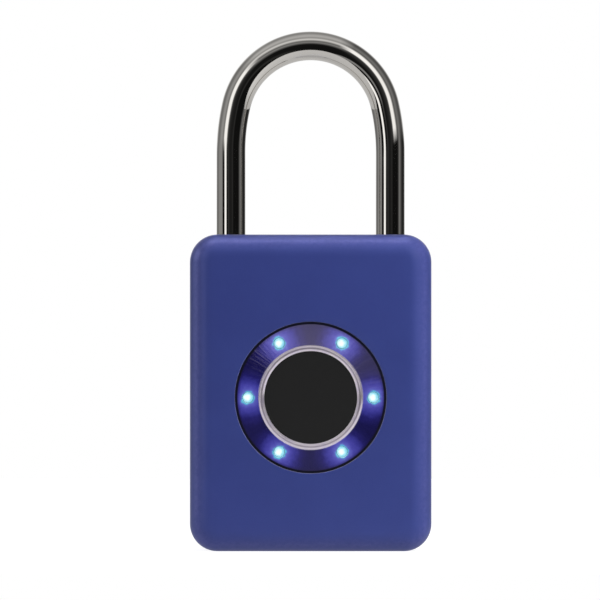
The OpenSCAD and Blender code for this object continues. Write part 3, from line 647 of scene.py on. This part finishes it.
# ---------------------------------------------------------------- materials
class Nodes:
    """Short calls for the shader nodes of one tree, which is emptied first."""

    def __init__(self, tree):
        self.tree = tree
        tree.nodes.clear()

    def add(self, kind, **settings):
        """A new node with its settings."""
        node = self.tree.nodes.new(kind)
        for key, value in settings.items():
            setattr(node, key, value)
        return node

    def plug(self, value, socket):
        """Links another node's output to a socket, or sets the socket's own value."""
        if isinstance(value, bpy.types.NodeSocket):
            self.tree.links.new(value, socket)
        else:
            socket.default_value = value

    def math(self, operation, a, b=0.0, clamp=False):
        """Result of a sum with one or two values."""
        node = self.add("ShaderNodeMath", operation=operation, use_clamp=clamp)
        for value, socket in zip((a, b), node.inputs):
            self.plug(value, socket)
        return node.outputs[0]

    def spread(self, value, low, high, from_low=0.0, from_high=1.0):
        """Maps from_low..from_high to low..high, and no further."""
        node = self.add("ShaderNodeMapRange")
        for v, socket in zip((value, from_low, from_high, low, high), node.inputs):
            self.plug(v, socket)
        return node.outputs[0]

    def mix(self, factor, a, b):
        """From colour a at factor 0 to colour b at 1."""
        node = self.add("ShaderNodeMix", data_type="RGBA")
        self.plug(factor, node.inputs[0])
        for colour, socket in ((a, node.inputs[6]), (b, node.inputs[7])):
            self.plug(colour if isinstance(colour, bpy.types.NodeSocket) else (*colour, 1), socket)
        return node.outputs[2]

    def ramp(self, value, stops):
        """Colour ramp from (position, colour) stops."""
        node = self.add("ShaderNodeValToRGB")
        elements = node.color_ramp.elements
        while len(elements) < len(stops):
            elements.new(1.0)
        for element, (position, colour) in zip(elements, stops):
            element.position = position
            element.color = (*colour, 1)
        self.plug(value, node.inputs[0])
        return node.outputs[0]


class Look(Nodes):
    """A material; coords are the piece's own, in metres."""

    def __init__(self, name):
        self.mat = bpy.data.materials.new(name)
        self.mat.use_nodes = True
        super().__init__(self.mat.node_tree)
        out = self.add("ShaderNodeOutputMaterial")
        self.bsdf = self.add("ShaderNodeBsdfPrincipled")
        self.tree.links.new(self.bsdf.outputs[0], out.inputs["Surface"])
        self.coords = self.add("ShaderNodeTexCoord").outputs["Object"]

    def noise(self, size, stretch=(1, 1, 1), detail=3.0, roughness=0.55):
        """Noise whose features are about size millimetres across, drawn out along an axis by stretch."""
        mapping = self.add("ShaderNodeMapping")
        self.plug(self.coords, mapping.inputs["Vector"])
        mapping.inputs["Scale"].default_value = [1 / s for s in stretch]
        node = self.add("ShaderNodeTexNoise")
        self.plug(mapping.outputs[0], node.inputs["Vector"])
        node.inputs["Scale"].default_value = 1 / (size * MM)
        node.inputs["Detail"].default_value = detail
        node.inputs["Roughness"].default_value = roughness
        return node.outputs["Fac"]

    def relief(self, *layers):
        """Bump layers of (height socket, depth in millimetres), one over the other."""
        normal = None
        for height, depth in layers:
            node = self.add("ShaderNodeBump")
            node.inputs["Distance"].default_value = depth * MM
            self.plug(height, node.inputs["Height"])
            if normal:
                self.plug(normal, node.inputs["Normal"])
            normal = node.outputs[0]
        self.plug(normal, self.bsdf.inputs["Normal"])

    def set(self, **sockets):
        """Sets or links the shader's own inputs, and gives the finished material."""
        for key, value in sockets.items():
            socket = self.bsdf.inputs[key.replace("_", " ")]
            if isinstance(value, tuple) and len(value) == 3 and socket.type == "RGBA":
                value = (*value, 1)
            self.plug(value, socket)
        return self.mat


def shade_of(colour, factor):
    """A colour made darker or lighter, at most full in each channel."""
    return tuple(min(1, c * factor) for c in colour)


def grained(name, colour, rough, grain, depth, spread=0.12, metallic=0.0, **sockets):
    """General finish: a fine grain in colour, roughness and relief, over slow patches of tone."""
    look = Look(name)
    fine = look.noise(grain)
    slow = look.noise(6.0, detail=2.0)
    tone = look.mix(fine, shade_of(colour, 1 - spread), shade_of(colour, 1 + spread))
    tone = look.mix(look.spread(slow, 0.0, 0.5), tone, shade_of(colour, 0.78))
    look.relief((fine, depth))
    return look.set(Base_Color=tone, Roughness=look.spread(fine, rough * 0.8, rough * 1.2), Metallic=metallic,
                    **sockets)


def edge_mask(look):
    """0 on the flat faces and 1 where a surface turns from one face of the body to the next."""
    split = look.add("ShaderNodeSeparateXYZ")
    look.plug(look.add("ShaderNodeTexCoord").outputs["Normal"], split.inputs[0])
    sides = [look.math("ABSOLUTE", out) for out in split.outputs]
    largest = look.math("MAXIMUM", look.math("MAXIMUM", sides[0], sides[1]), sides[2])
    return look.spread(largest, 1.0, 0.0, 0.72, 0.97)


def paint():
    """Blue satin lacquer over zinc: fine orange peel, fine flakes, and edges a little lighter, partly rubbed
    wear and partly painted sheen.
    """
    look = Look("housing_blue")
    peel = look.noise(0.45, detail=2.0)
    flake = look.noise(0.07, detail=1.0)
    slow = look.noise(9.0, detail=2.0)
    blue, deep, bright = (0.0325, 0.048, 0.203), (0.0300, 0.044, 0.19), (0.05, 0.066, 0.26)
    tone = look.mix(look.spread(slow, 0.0, 1.0, 0.3, 0.7), deep, blue)
    tone = look.mix(look.spread(flake, 0.0, 0.5, 0.55, 0.75), tone, bright)
    scuff_and_sheen_patches = look.noise(0.8, detail=5.0, roughness=0.65)
    edge = edge_mask(look)
    # edges lighter in patches: partly rubbed wear, partly painted sheen on the rounded rims
    wear_and_sheen = look.math("MULTIPLY", edge, look.spread(scuff_and_sheen_patches, 0.1, 0.32, 0.35, 0.65), clamp=True)
    tone = look.mix(wear_and_sheen, tone, (0.13, 0.13, 0.36))
    look.relief((peel, 0.006), (flake, 0.0012))
    return look.set(Base_Color=tone, Metallic=0.35, Roughness=look.spread(peel, 0.36, 0.46),
                    Specular_IOR_Level=0.3, Specular_Tint=(0.8, 0.8, 1.0),
                    Coat_Weight=0.12, Coat_Roughness=0.3, Coat_IOR=1.5)


def chrome():
    """Polished plated steel with hairline polishing marks along the bar."""
    look = Look("polished_steel")
    hair = look.noise(0.12, (1, 1, 40), detail=3.0)
    haze = look.noise(7.0, detail=3.0)
    tone = look.mix(look.spread(haze, 0.0, 1.0, 0.35, 0.65), (0.575, 0.555, 0.525), (0.61, 0.59, 0.56))
    rough = look.math("ADD", look.spread(hair, 0.02, 0.04), look.spread(haze, 0.0, 0.015, 0.4, 0.7))
    look.relief((hair, 0.0004))
    return look.set(Base_Color=tone, Metallic=1.0, Roughness=rough)


def sensor_plane(look):
    """X and Z of a point, measured from the sensor axis."""
    split = look.add("ShaderNodeSeparateXYZ")
    look.plug(look.coords, split.inputs[0])
    return split.outputs[0], look.math("SUBTRACT", split.outputs[2], SENSOR_Z)


def length_of(look, a, b):
    """Length of the flat vector (a, b)."""
    return look.math("SQRT", look.math("ADD", look.math("POWER", a, 2.0), look.math("POWER", b, 2.0)))


def radius_from_sensor(look):
    """Distance in metres from the sensor axis."""
    return length_of(look, *sensor_plane(look))


def lamp_distance(look, shift=0.0):
    """Distance in millimetres from the nearest lamp's axis, by folding the circle into one sector. shift puts
    the centres that many metres further left."""
    x, z = sensor_plane(look)
    x = look.math("ADD", x, shift)
    sector = 2 * math.pi / LAMP_COUNT
    turned_by = look.math("ADD", look.math("ARCTAN2", z, x), sector / 2)
    folded = look.math("SUBTRACT", look.math("FLOORED_MODULO", turned_by, sector), sector / 2)
    radius = length_of(look, x, z)
    along = look.math("SUBTRACT", look.math("MULTIPLY", radius, look.math("COSINE", folded)), LAMP_CIRCLE_R)
    across = look.math("MULTIPLY", radius, look.math("SINE", folded))
    return look.math("MULTIPLY", length_of(look, along, across), 1 / MM)


def lit_lens():
    """Dark indigo lens with painted lamp light: its emission glows round each lamp and faintly all over,
    standing in for the lamps' light scattered in the lens, over a spun disc whose lines break up its
    reflections.
    """
    look = Look("tinted_lens")
    reach = 6.0         # how far the painted glow round a lamp spreads, in millimetres
    line_pitch = 0.11 * MM
    cloud = look.noise(2.6, detail=3.0)
    ripple = look.math("ADD", look.spread(cloud, -0.5, 0.5),
                       look.spread(look.noise(0.7, detail=3.0), -0.45, 0.45))
    distance = look.math("DIVIDE", look.math("ADD", lamp_distance(look), ripple), reach)
    # painted light: emission standing in for each lamp's light scattered in the lens, from near white at the
    # lamp to a faint blue all over
    lamp_and_painted_glow = look.ramp(distance, [(d / reach, colour) for d, colour in (
        (0.0, (0.3, 0.5, 0.85)), (0.95, (0.13, 0.52, 0.68)), (1.12, (0.10, 0.40, 0.62)),
        (1.25, (0.11, 0.15, 0.49)), (1.5, (0.085, 0.09, 0.41)), (2.0, (0.055, 0.052, 0.32)),
        (2.9, (0.028, 0.027, 0.21)), (3.8, (0.008, 0.007, 0.085)), (5.0, (0.002, 0.002, 0.035)),
        (reach, (0.001, 0.001, 0.025)))])
    radius = radius_from_sensor(look)
    # painted light: towards the outer rim the painted glow fades to a faint dark blue
    rim = look.spread(radius, 0.0, 0.75, LENS_OUT_R - 0.6 * MM, LENS_OUT_R)
    lamp_and_painted_glow = look.mix(rim, lamp_and_painted_glow, (0.002, 0.001, 0.012))
    x, z = sensor_plane(look)
    angle = look.math("ARCTAN2", z, x)
    spokes = look.add("ShaderNodeTexNoise")
    spoke_place = look.add("ShaderNodeCombineXYZ")
    look.plug(look.math("COSINE", angle), spoke_place.inputs[0])
    look.plug(look.math("SINE", angle), spoke_place.inputs[1])
    look.plug(look.math("MULTIPLY", radius, 9.0), spoke_place.inputs[2])
    look.plug(spoke_place.outputs[0], spokes.inputs["Vector"])
    spokes.inputs["Scale"].default_value = 26
    spokes.inputs["Detail"].default_value = 5
    streaks = spokes.outputs["Fac"]
    tone = look.mix(look.spread(streaks, 0.0, 1.0, 0.3, 0.7), (0.0025, 0.002, 0.026), (0.006, 0.005, 0.045))
    lines = look.math("SINE", look.math("MULTIPLY", radius, 2 * math.pi / line_pitch))
    look.relief((lines, 0.0008), (streaks, 0.022))
    return look.set(Base_Color=tone, Roughness=look.spread(streaks, 0.03, 0.15), IOR=2.6,
                    Specular_Tint=(0.74, 0.66, 1.0), Emission_Color=lamp_and_painted_glow, Emission_Strength=1.0)


def lit_lamp():
    """Lamp lens: nearly white over the chip, cyan towards an uneven rim."""
    look = Look("lamp_lens")
    cloud = look.noise(0.5, detail=3.0)
    ripple = look.spread(cloud, -0.35, 0.35)
    distance = look.math("DIVIDE", look.math("ADD", lamp_distance(look, 0.13 * MM), ripple), 1.2)
    lamp_and_painted_glow = look.ramp(distance, [(0.0, (0.95, 1.0, 0.98)), (0.32, (0.88, 0.98, 0.95)),
                                (0.50, (0.50, 0.80, 0.84)), (0.66, (0.27, 0.66, 0.76)),
                                (0.85, (0.17, 0.52, 0.68)), (1.0, (0.10, 0.42, 0.60))])
    tone = look.mix(cloud, (0.03, 0.08, 0.1), (0.05, 0.12, 0.15))
    look.relief((cloud, 0.004))
    return look.set(Base_Color=tone, Roughness=look.spread(cloud, 0.15, 0.3), Emission_Color=lamp_and_painted_glow,
                    Emission_Strength=1.0)


def bezel_metal():
    """Pale turned metal with fine lines round it, and a dark line of painted groove shade along its flat
    crown, which has no groove.
    """
    look = Look("bezel_metal")
    line_pitch = 0.05 * MM
    lines = look.math("SINE", look.math("MULTIPLY", radius_from_sensor(look), 2 * math.pi / line_pitch))
    haze = look.noise(1.6, detail=3.0)
    tone = look.mix(look.spread(haze, 0.0, 1.0, 0.35, 0.65), (0.86, 0.78, 0.94), (0.96, 0.88, 0.94))
    # painted shade: a dark band where a groove would lie in shade; the crown itself is flat
    off_shade_line = look.math("ABSOLUTE", look.math("SUBTRACT", radius_from_sensor(look), BEZEL_SHADE_LINE_R))
    tone = look.mix(look.spread(off_shade_line, 0.55, 0.0, 0.04 * MM, 0.2 * MM), tone, (0.30, 0.24, 0.34))
    look.relief((lines, 0.0004))
    tangent = look.add("ShaderNodeTangent", direction_type="RADIAL", axis="Y")
    look.plug(tangent.outputs[0], look.bsdf.inputs["Tangent"])
    return look.set(Base_Color=tone, Metallic=0.93, Roughness=look.spread(haze, 0.34, 0.4), Anisotropic=0.9,
                    Anisotropic_Rotation=0.25)


def board(name, mask, track):
    """Board laminate: tracks show through the mask as slightly lighter, raised lines."""
    look = Look(name)
    mapping = look.add("ShaderNodeMapping")
    look.plug(look.coords, mapping.inputs["Vector"])
    mapping.inputs["Rotation"].default_value = (math.radians(90), 0, 0)
    bricks = look.add("ShaderNodeTexBrick")
    look.plug(mapping.outputs[0], bricks.inputs["Vector"])
    bricks.inputs["Scale"].default_value = 1 / (2.4 * MM)
    bricks.inputs["Mortar Size"].default_value = 0.06
    lines = bricks.outputs["Fac"]
    weave = look.noise(0.3, detail=1.0)
    tone = look.mix(lines, look.mix(weave, shade_of(mask, 0.9), shade_of(mask, 1.1)), track)
    look.relief((lines, 0.02), (weave, 0.004))
    return look.set(Base_Color=tone, Roughness=look.spread(weave, 0.3, 0.4), Specular_IOR_Level=0.5)


def flex_film():
    """Amber film with copper conductors under it."""
    look = Look("flex_film")
    wave = look.add("ShaderNodeTexWave", wave_type="BANDS", bands_direction="X")
    look.plug(look.coords, wave.inputs["Vector"])
    wave.inputs["Scale"].default_value = 0.31 / (0.5 * MM)
    haze = look.noise(1.2)
    bands = look.spread(wave.outputs["Fac"], 0.0, 1.0, 0.4, 0.6)
    tone = look.mix(bands, (0.42, 0.19, 0.05), (0.66, 0.36, 0.12))
    look.relief((wave.outputs["Fac"], 0.01))
    return look.set(Base_Color=tone, Roughness=look.spread(haze, 0.2, 0.35))


LOOKS = {
    "housing_blue": paint(),
    "polished_steel": chrome(),
    "zinc_casting": grained("zinc_casting", (0.42, 0.43, 0.45), 0.5, 0.5, 0.03, metallic=0.9),
    "fastener_steel": grained("fastener_steel", (0.55, 0.55, 0.56), 0.3, 0.15, 0.003, metallic=1.0),
    "bezel_metal": bezel_metal(),
    "tinted_lens": lit_lens(),
    "lamp_lens": lit_lamp(),
    "sensor_black": grained("sensor_black", (0.009, 0.009, 0.0092), 0.6, 0.12, 0.0025, spread=0.1,
                            Specular_IOR_Level=0.25),
    "black_rubber": grained("black_rubber", (0.003, 0.003, 0.012), 0.55, 0.18, 0.006, spread=0.2,
                            Specular_IOR_Level=0.12),
    "board_laminate": board("board_laminate", (0.012, 0.085, 0.04), (0.03, 0.17, 0.07)),
    "chip_black": grained("chip_black", (0.018, 0.018, 0.02), 0.5, 0.2, 0.004, spread=0.2),
    "connector_nylon": grained("connector_nylon", (0.66, 0.62, 0.54), 0.45, 0.4, 0.004, spread=0.05),
    "gear_brass": grained("gear_brass", (0.72, 0.5, 0.22), 0.28, 0.2, 0.003, metallic=1.0),
    "flex_film": flex_film(),
    "cell_pouch": grained("cell_pouch", (0.58, 0.6, 0.63), 0.35, 1.6, 0.03, metallic=0.8, spread=0.06),
    "foam_tape": grained("foam_tape", (0.03, 0.03, 0.03), 0.8, 0.25, 0.03, spread=0.3),
    "wire_insulation": grained("wire_insulation", (0.36, 0.025, 0.02), 0.4, 0.3, 0.003, spread=0.08),
}


# ---------------------------------------------------------------- pieces
def wear(obj, slot):
    """Gives a piece the look of one material slot."""
    obj.data.materials.clear()
    obj.data.materials.append(LOOKS[slot])


def place(obj, name, node, body="case"):
    """Puts a finished piece in the model in place of a CAD node, with that node's finish."""
    slot = SLOTS[node]
    obj.name = name
    obj.data.name = name
    wear(obj, slot)
    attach(obj, body)
    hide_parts(node)


SLOTS = {part["node"]: part["material_slot"] for part in frame["record"]["subparts"]}
for node, obj in frame["nodes"].items():
    wear(obj, SLOTS[node])

place(front_shell(), "front_shell", "front_housing")
place(rear_shell(), "rear_shell", "rear_housing")
place(soft_plate("rear_plate", PANEL_LO, PANEL_HI, 2.9 * MM, 0.2 * MM, "y"), "rear_plate", "rear_panel")
place(shackle_bar(), "shackle_bar", "shackle", "shackle")
place(bush_rings(), "bush_rings", "shackle_bushes")
place(ring_lens(), "ring_lens", "light_ring")
place(lamp_domes(), "lamp_domes", "led_emitters")
place(gasket_ring(), "gasket_ring", "ring_gasket")
place(bezel_ring(), "bezel_ring", "sensor_bezel")
place(sensor_plate(), "sensor_plate", "sensor_disc")
place(port_flap(), "port_flap_cover", "port_cover", "port_flap")
place(charging_socket(), "charging_socket", "usb_socket")


# ---------------------------------------------------------------- studio
WHITE = (1.0, 1.0, 1.0)

# Brightness of the studio as (degrees, brightness). BELT goes round the lock at its own height, from 0 in
# front of it to 180 behind it by way of its right side. DOME goes from 0 in front of it over the top to 180.
BELT = ((-180, 1.0), (-166, 0.8), (-150, 0.25), (-125, 0.2), (-108, 0.36), (-76, 0.36), (-68, 0.0),
        (-54, 0.0), (-50, 1.6), (-39, 1.6), (-35, 0.006), (-26, 0.008), (-18, 0.06), (-10, 0.008),
        (5, 0.01), (12, 0.04), (20, 0.008), (62, 0.008), (74, 0.16), (81, 0.3), (92, 0.12), (104, 0.05),
        (118, 0.02), (140, 0.04), (158, 0.4), (172, 1.0), (180, 1.0))
DOME = ((-180, 1.0), (-90, 0.4), (-32, 0.1), (-26, 0.02), (12, 0.02), (19, 0.13), (27, 0.34), (36, 0.17),
        (43, 0.46), (50, 0.95), (56, 0.95), (63, 0.5), (72, 0.49), (81, 0.68), (92, 0.66), (105, 0.5),
        (119, 0.34), (137, 0.39), (165, 1.0), (180, 1.0))

# Two arcs from front to back, one on each side of the bow: where each begins, is full, fades and ends, in
# degrees round the front axis, up from the right, and its brightness by degrees off the front
ARCS = (((128, 142, 175, 179), ((0, 0.02), (11, 0.02), (25, 0.04), (33, 0.2), (39, 1.5), (57, 1.5), (63, 0.5),
                                (68, 0.25), (78, 0.42), (92, 0.42), (106, 0.27), (128, 0.22), (160, 1.0),
                                (180, 1.0))),
        ((4, 8, 60, 70), ((0, 0.02), (11, 0.03), (23, 0.05), (29, 0.2), (34, 1.5), (54, 1.5), (60, 0.6),
                          (68, 0.12), (78, 0.25), (89, 0.24), (106, 0.12), (128, 0.12), (160, 1.0),
                          (180, 1.0))))


def grey_stops(stops, start, span):
    """Ramp stops from (degrees, brightness), where start degrees is the ramp's 0."""
    return [((degrees - start) / span, (value, value, value)) for degrees, value in stops]


def studio_world():
    """Studio seen by reflections: a dark belt level with the lock, with a bright strip and a small patch at
    the left and a dim strip at the right, soft grey above and below, and two arcs that draw the white lines
    along the bow. The camera itself sees white."""
    world = bpy.data.worlds.new("studio")
    world.use_nodes = True
    bpy.context.scene.world = world
    sky = Nodes(world.node_tree)
    split = sky.add("ShaderNodeSeparateXYZ")
    sky.plug(sky.add("ShaderNodeTexCoord").outputs["Generated"], split.inputs[0])
    x, y, z = split.outputs
    forward = sky.math("MULTIPLY", y, -1.0)

    azimuth = sky.math("ARCTAN2", x, forward)
    belt = sky.ramp(sky.spread(azimuth, 0.0, 1.0, -math.pi, math.pi), grey_stops(BELT, -180, 360))
    height = sky.math("ARCTAN2", z, forward)
    dome = sky.ramp(sky.spread(height, 0.0, 1.0, -math.pi, math.pi), grey_stops(DOME, -180, 360))
    elevation = sky.math("ARCSINE", z)
    above = sky.spread(elevation, 0.0, 1.0, math.radians(8), math.radians(14))
    below = sky.spread(elevation, 0.0, 1.0, math.radians(-30), math.radians(-36))
    away = sky.math("ADD", above, below, clamp=True)

    off_level = sky.spread(sky.math("ABSOLUTE", elevation), 0.0, 0.3, math.radians(2), math.radians(7))
    off_patch = sky.math("ABSOLUTE", sky.math("ADD", azimuth, math.radians(18)))
    patch = sky.spread(off_patch, 1.0, 0.0, math.radians(3), math.radians(6))
    belt = sky.mix(sky.math("MULTIPLY", off_level, patch), belt, WHITE)
    light = sky.mix(away, belt, dome)

    off_axis = sky.math("DIVIDE", sky.math("ARCCOSINE", forward), math.pi)
    around = sky.math("ARCTAN2", z, x)
    for (begin, full, fades, end), stops in ARCS:
        band = sky.ramp(off_axis, grey_stops(stops, 0, 180))
        rise = sky.spread(around, 0.0, 1.0, math.radians(begin), math.radians(full))
        fall = sky.spread(around, 0.0, 1.0, math.radians(end), math.radians(fades))
        light = sky.mix(sky.math("MULTIPLY", rise, fall), light, band)

    seen = sky.add("ShaderNodeLightPath").outputs["Is Camera Ray"]
    background = sky.add("ShaderNodeBackground")
    sky.plug(sky.mix(seen, light, WHITE), background.inputs[0])
    out = sky.add("ShaderNodeOutputWorld")
    sky.plug(background.outputs[0], out.inputs["Surface"])


def floor_plane():
    """Pale studio floor, bright enough to read as white, with the lock's own soft shadow on it."""
    side, front, back, z = 0.4, -0.13, 0.6, -0.02 * MM
    corners = [(-side, front, z), (side, front, z), (side, back, z), (-side, back, z)]
    floor = mesh_object("floor", corners, [(0, 1, 2, 3)])
    look = Look("floor_white")
    tint = look.noise(400.0, detail=2.0)
    tone = look.mix(tint, (0.24, 0.24, 0.24), (0.26, 0.26, 0.26))
    look.relief((look.noise(1.5), 0.01))
    seen = look.add("ShaderNodeLightPath").outputs["Is Camera Ray"]
    floor.data.materials.append(look.set(Base_Color=tone, Roughness=0.9, Emission_Color=WHITE,
                                         Emission_Strength=look.spread(seen, 0.56, 0.88)))


def area_light(name, where, size, power, only=None, colour=WHITE):
    """A soft box aimed at the lock's middle, in watts, which mirrors don't show. With only, it lights just
    those pieces, and they do show it in their sheen."""
    data = bpy.data.lights.new(name, "AREA")
    data.shape = "RECTANGLE"
    data.size, data.size_y = size
    data.energy = power
    data.color = colour
    light = bpy.data.objects.new(name, data)
    light.location = where
    light.visible_glossy = bool(only)
    light.visible_camera = False
    if only:
        lit = bpy.data.collections.new(name + "_lit")
        for obj in only:
            lit.objects.link(obj)
        light.light_linking.receiver_collection = lit
    light.rotation_euler = (Vector((0, 0, BODY_H / 2)) - Vector(where)).to_track_quat("-Z", "Y").to_euler()
    bpy.context.scene.collection.objects.link(light)


def camera():
    """Long lens, level and straight in front, a little left of the lock's middle."""
    data = bpy.data.cameras.new("camera")
    data.sensor_width = 36
    data.lens = 503
    data.clip_start, data.clip_end = 0.05, 20
    cam = bpy.data.objects.new("camera", data)
    cam.location = (-0.0019, -1.5, 0.04474)
    cam.rotation_euler = (math.radians(90), 0, 0)
    bpy.context.scene.collection.objects.link(cam)
    bpy.context.scene.camera = cam


def hide_from_mirrors():
    """Only the bar and the floor show in mirrors, so that the bow picks up no blue line from the body."""
    for obj in bpy.data.objects:
        if obj.type == "MESH" and obj.name not in ("shackle_bar", "floor"):
            obj.visible_glossy = False


studio_world()
floor_plane()
hide_from_mirrors()
SHELLS = [bpy.data.objects[name] for name in ("front_shell", "rear_shell", "rear_plate")]
area_light("key_right", (0.15, -0.13, 0.14), (0.08, 0.08), 0.36)
area_light("top", (-0.1, 0.1, 1.0), (0.9, 0.5), 3.6, SHELLS, (1.0, 0.96, 0.94))
area_light("left", (-0.8, 0.08, 0.3), (0.5, 0.5), 1.6, SHELLS)
camera()
bpy.context.scene.view_settings.view_transform = "Standard"
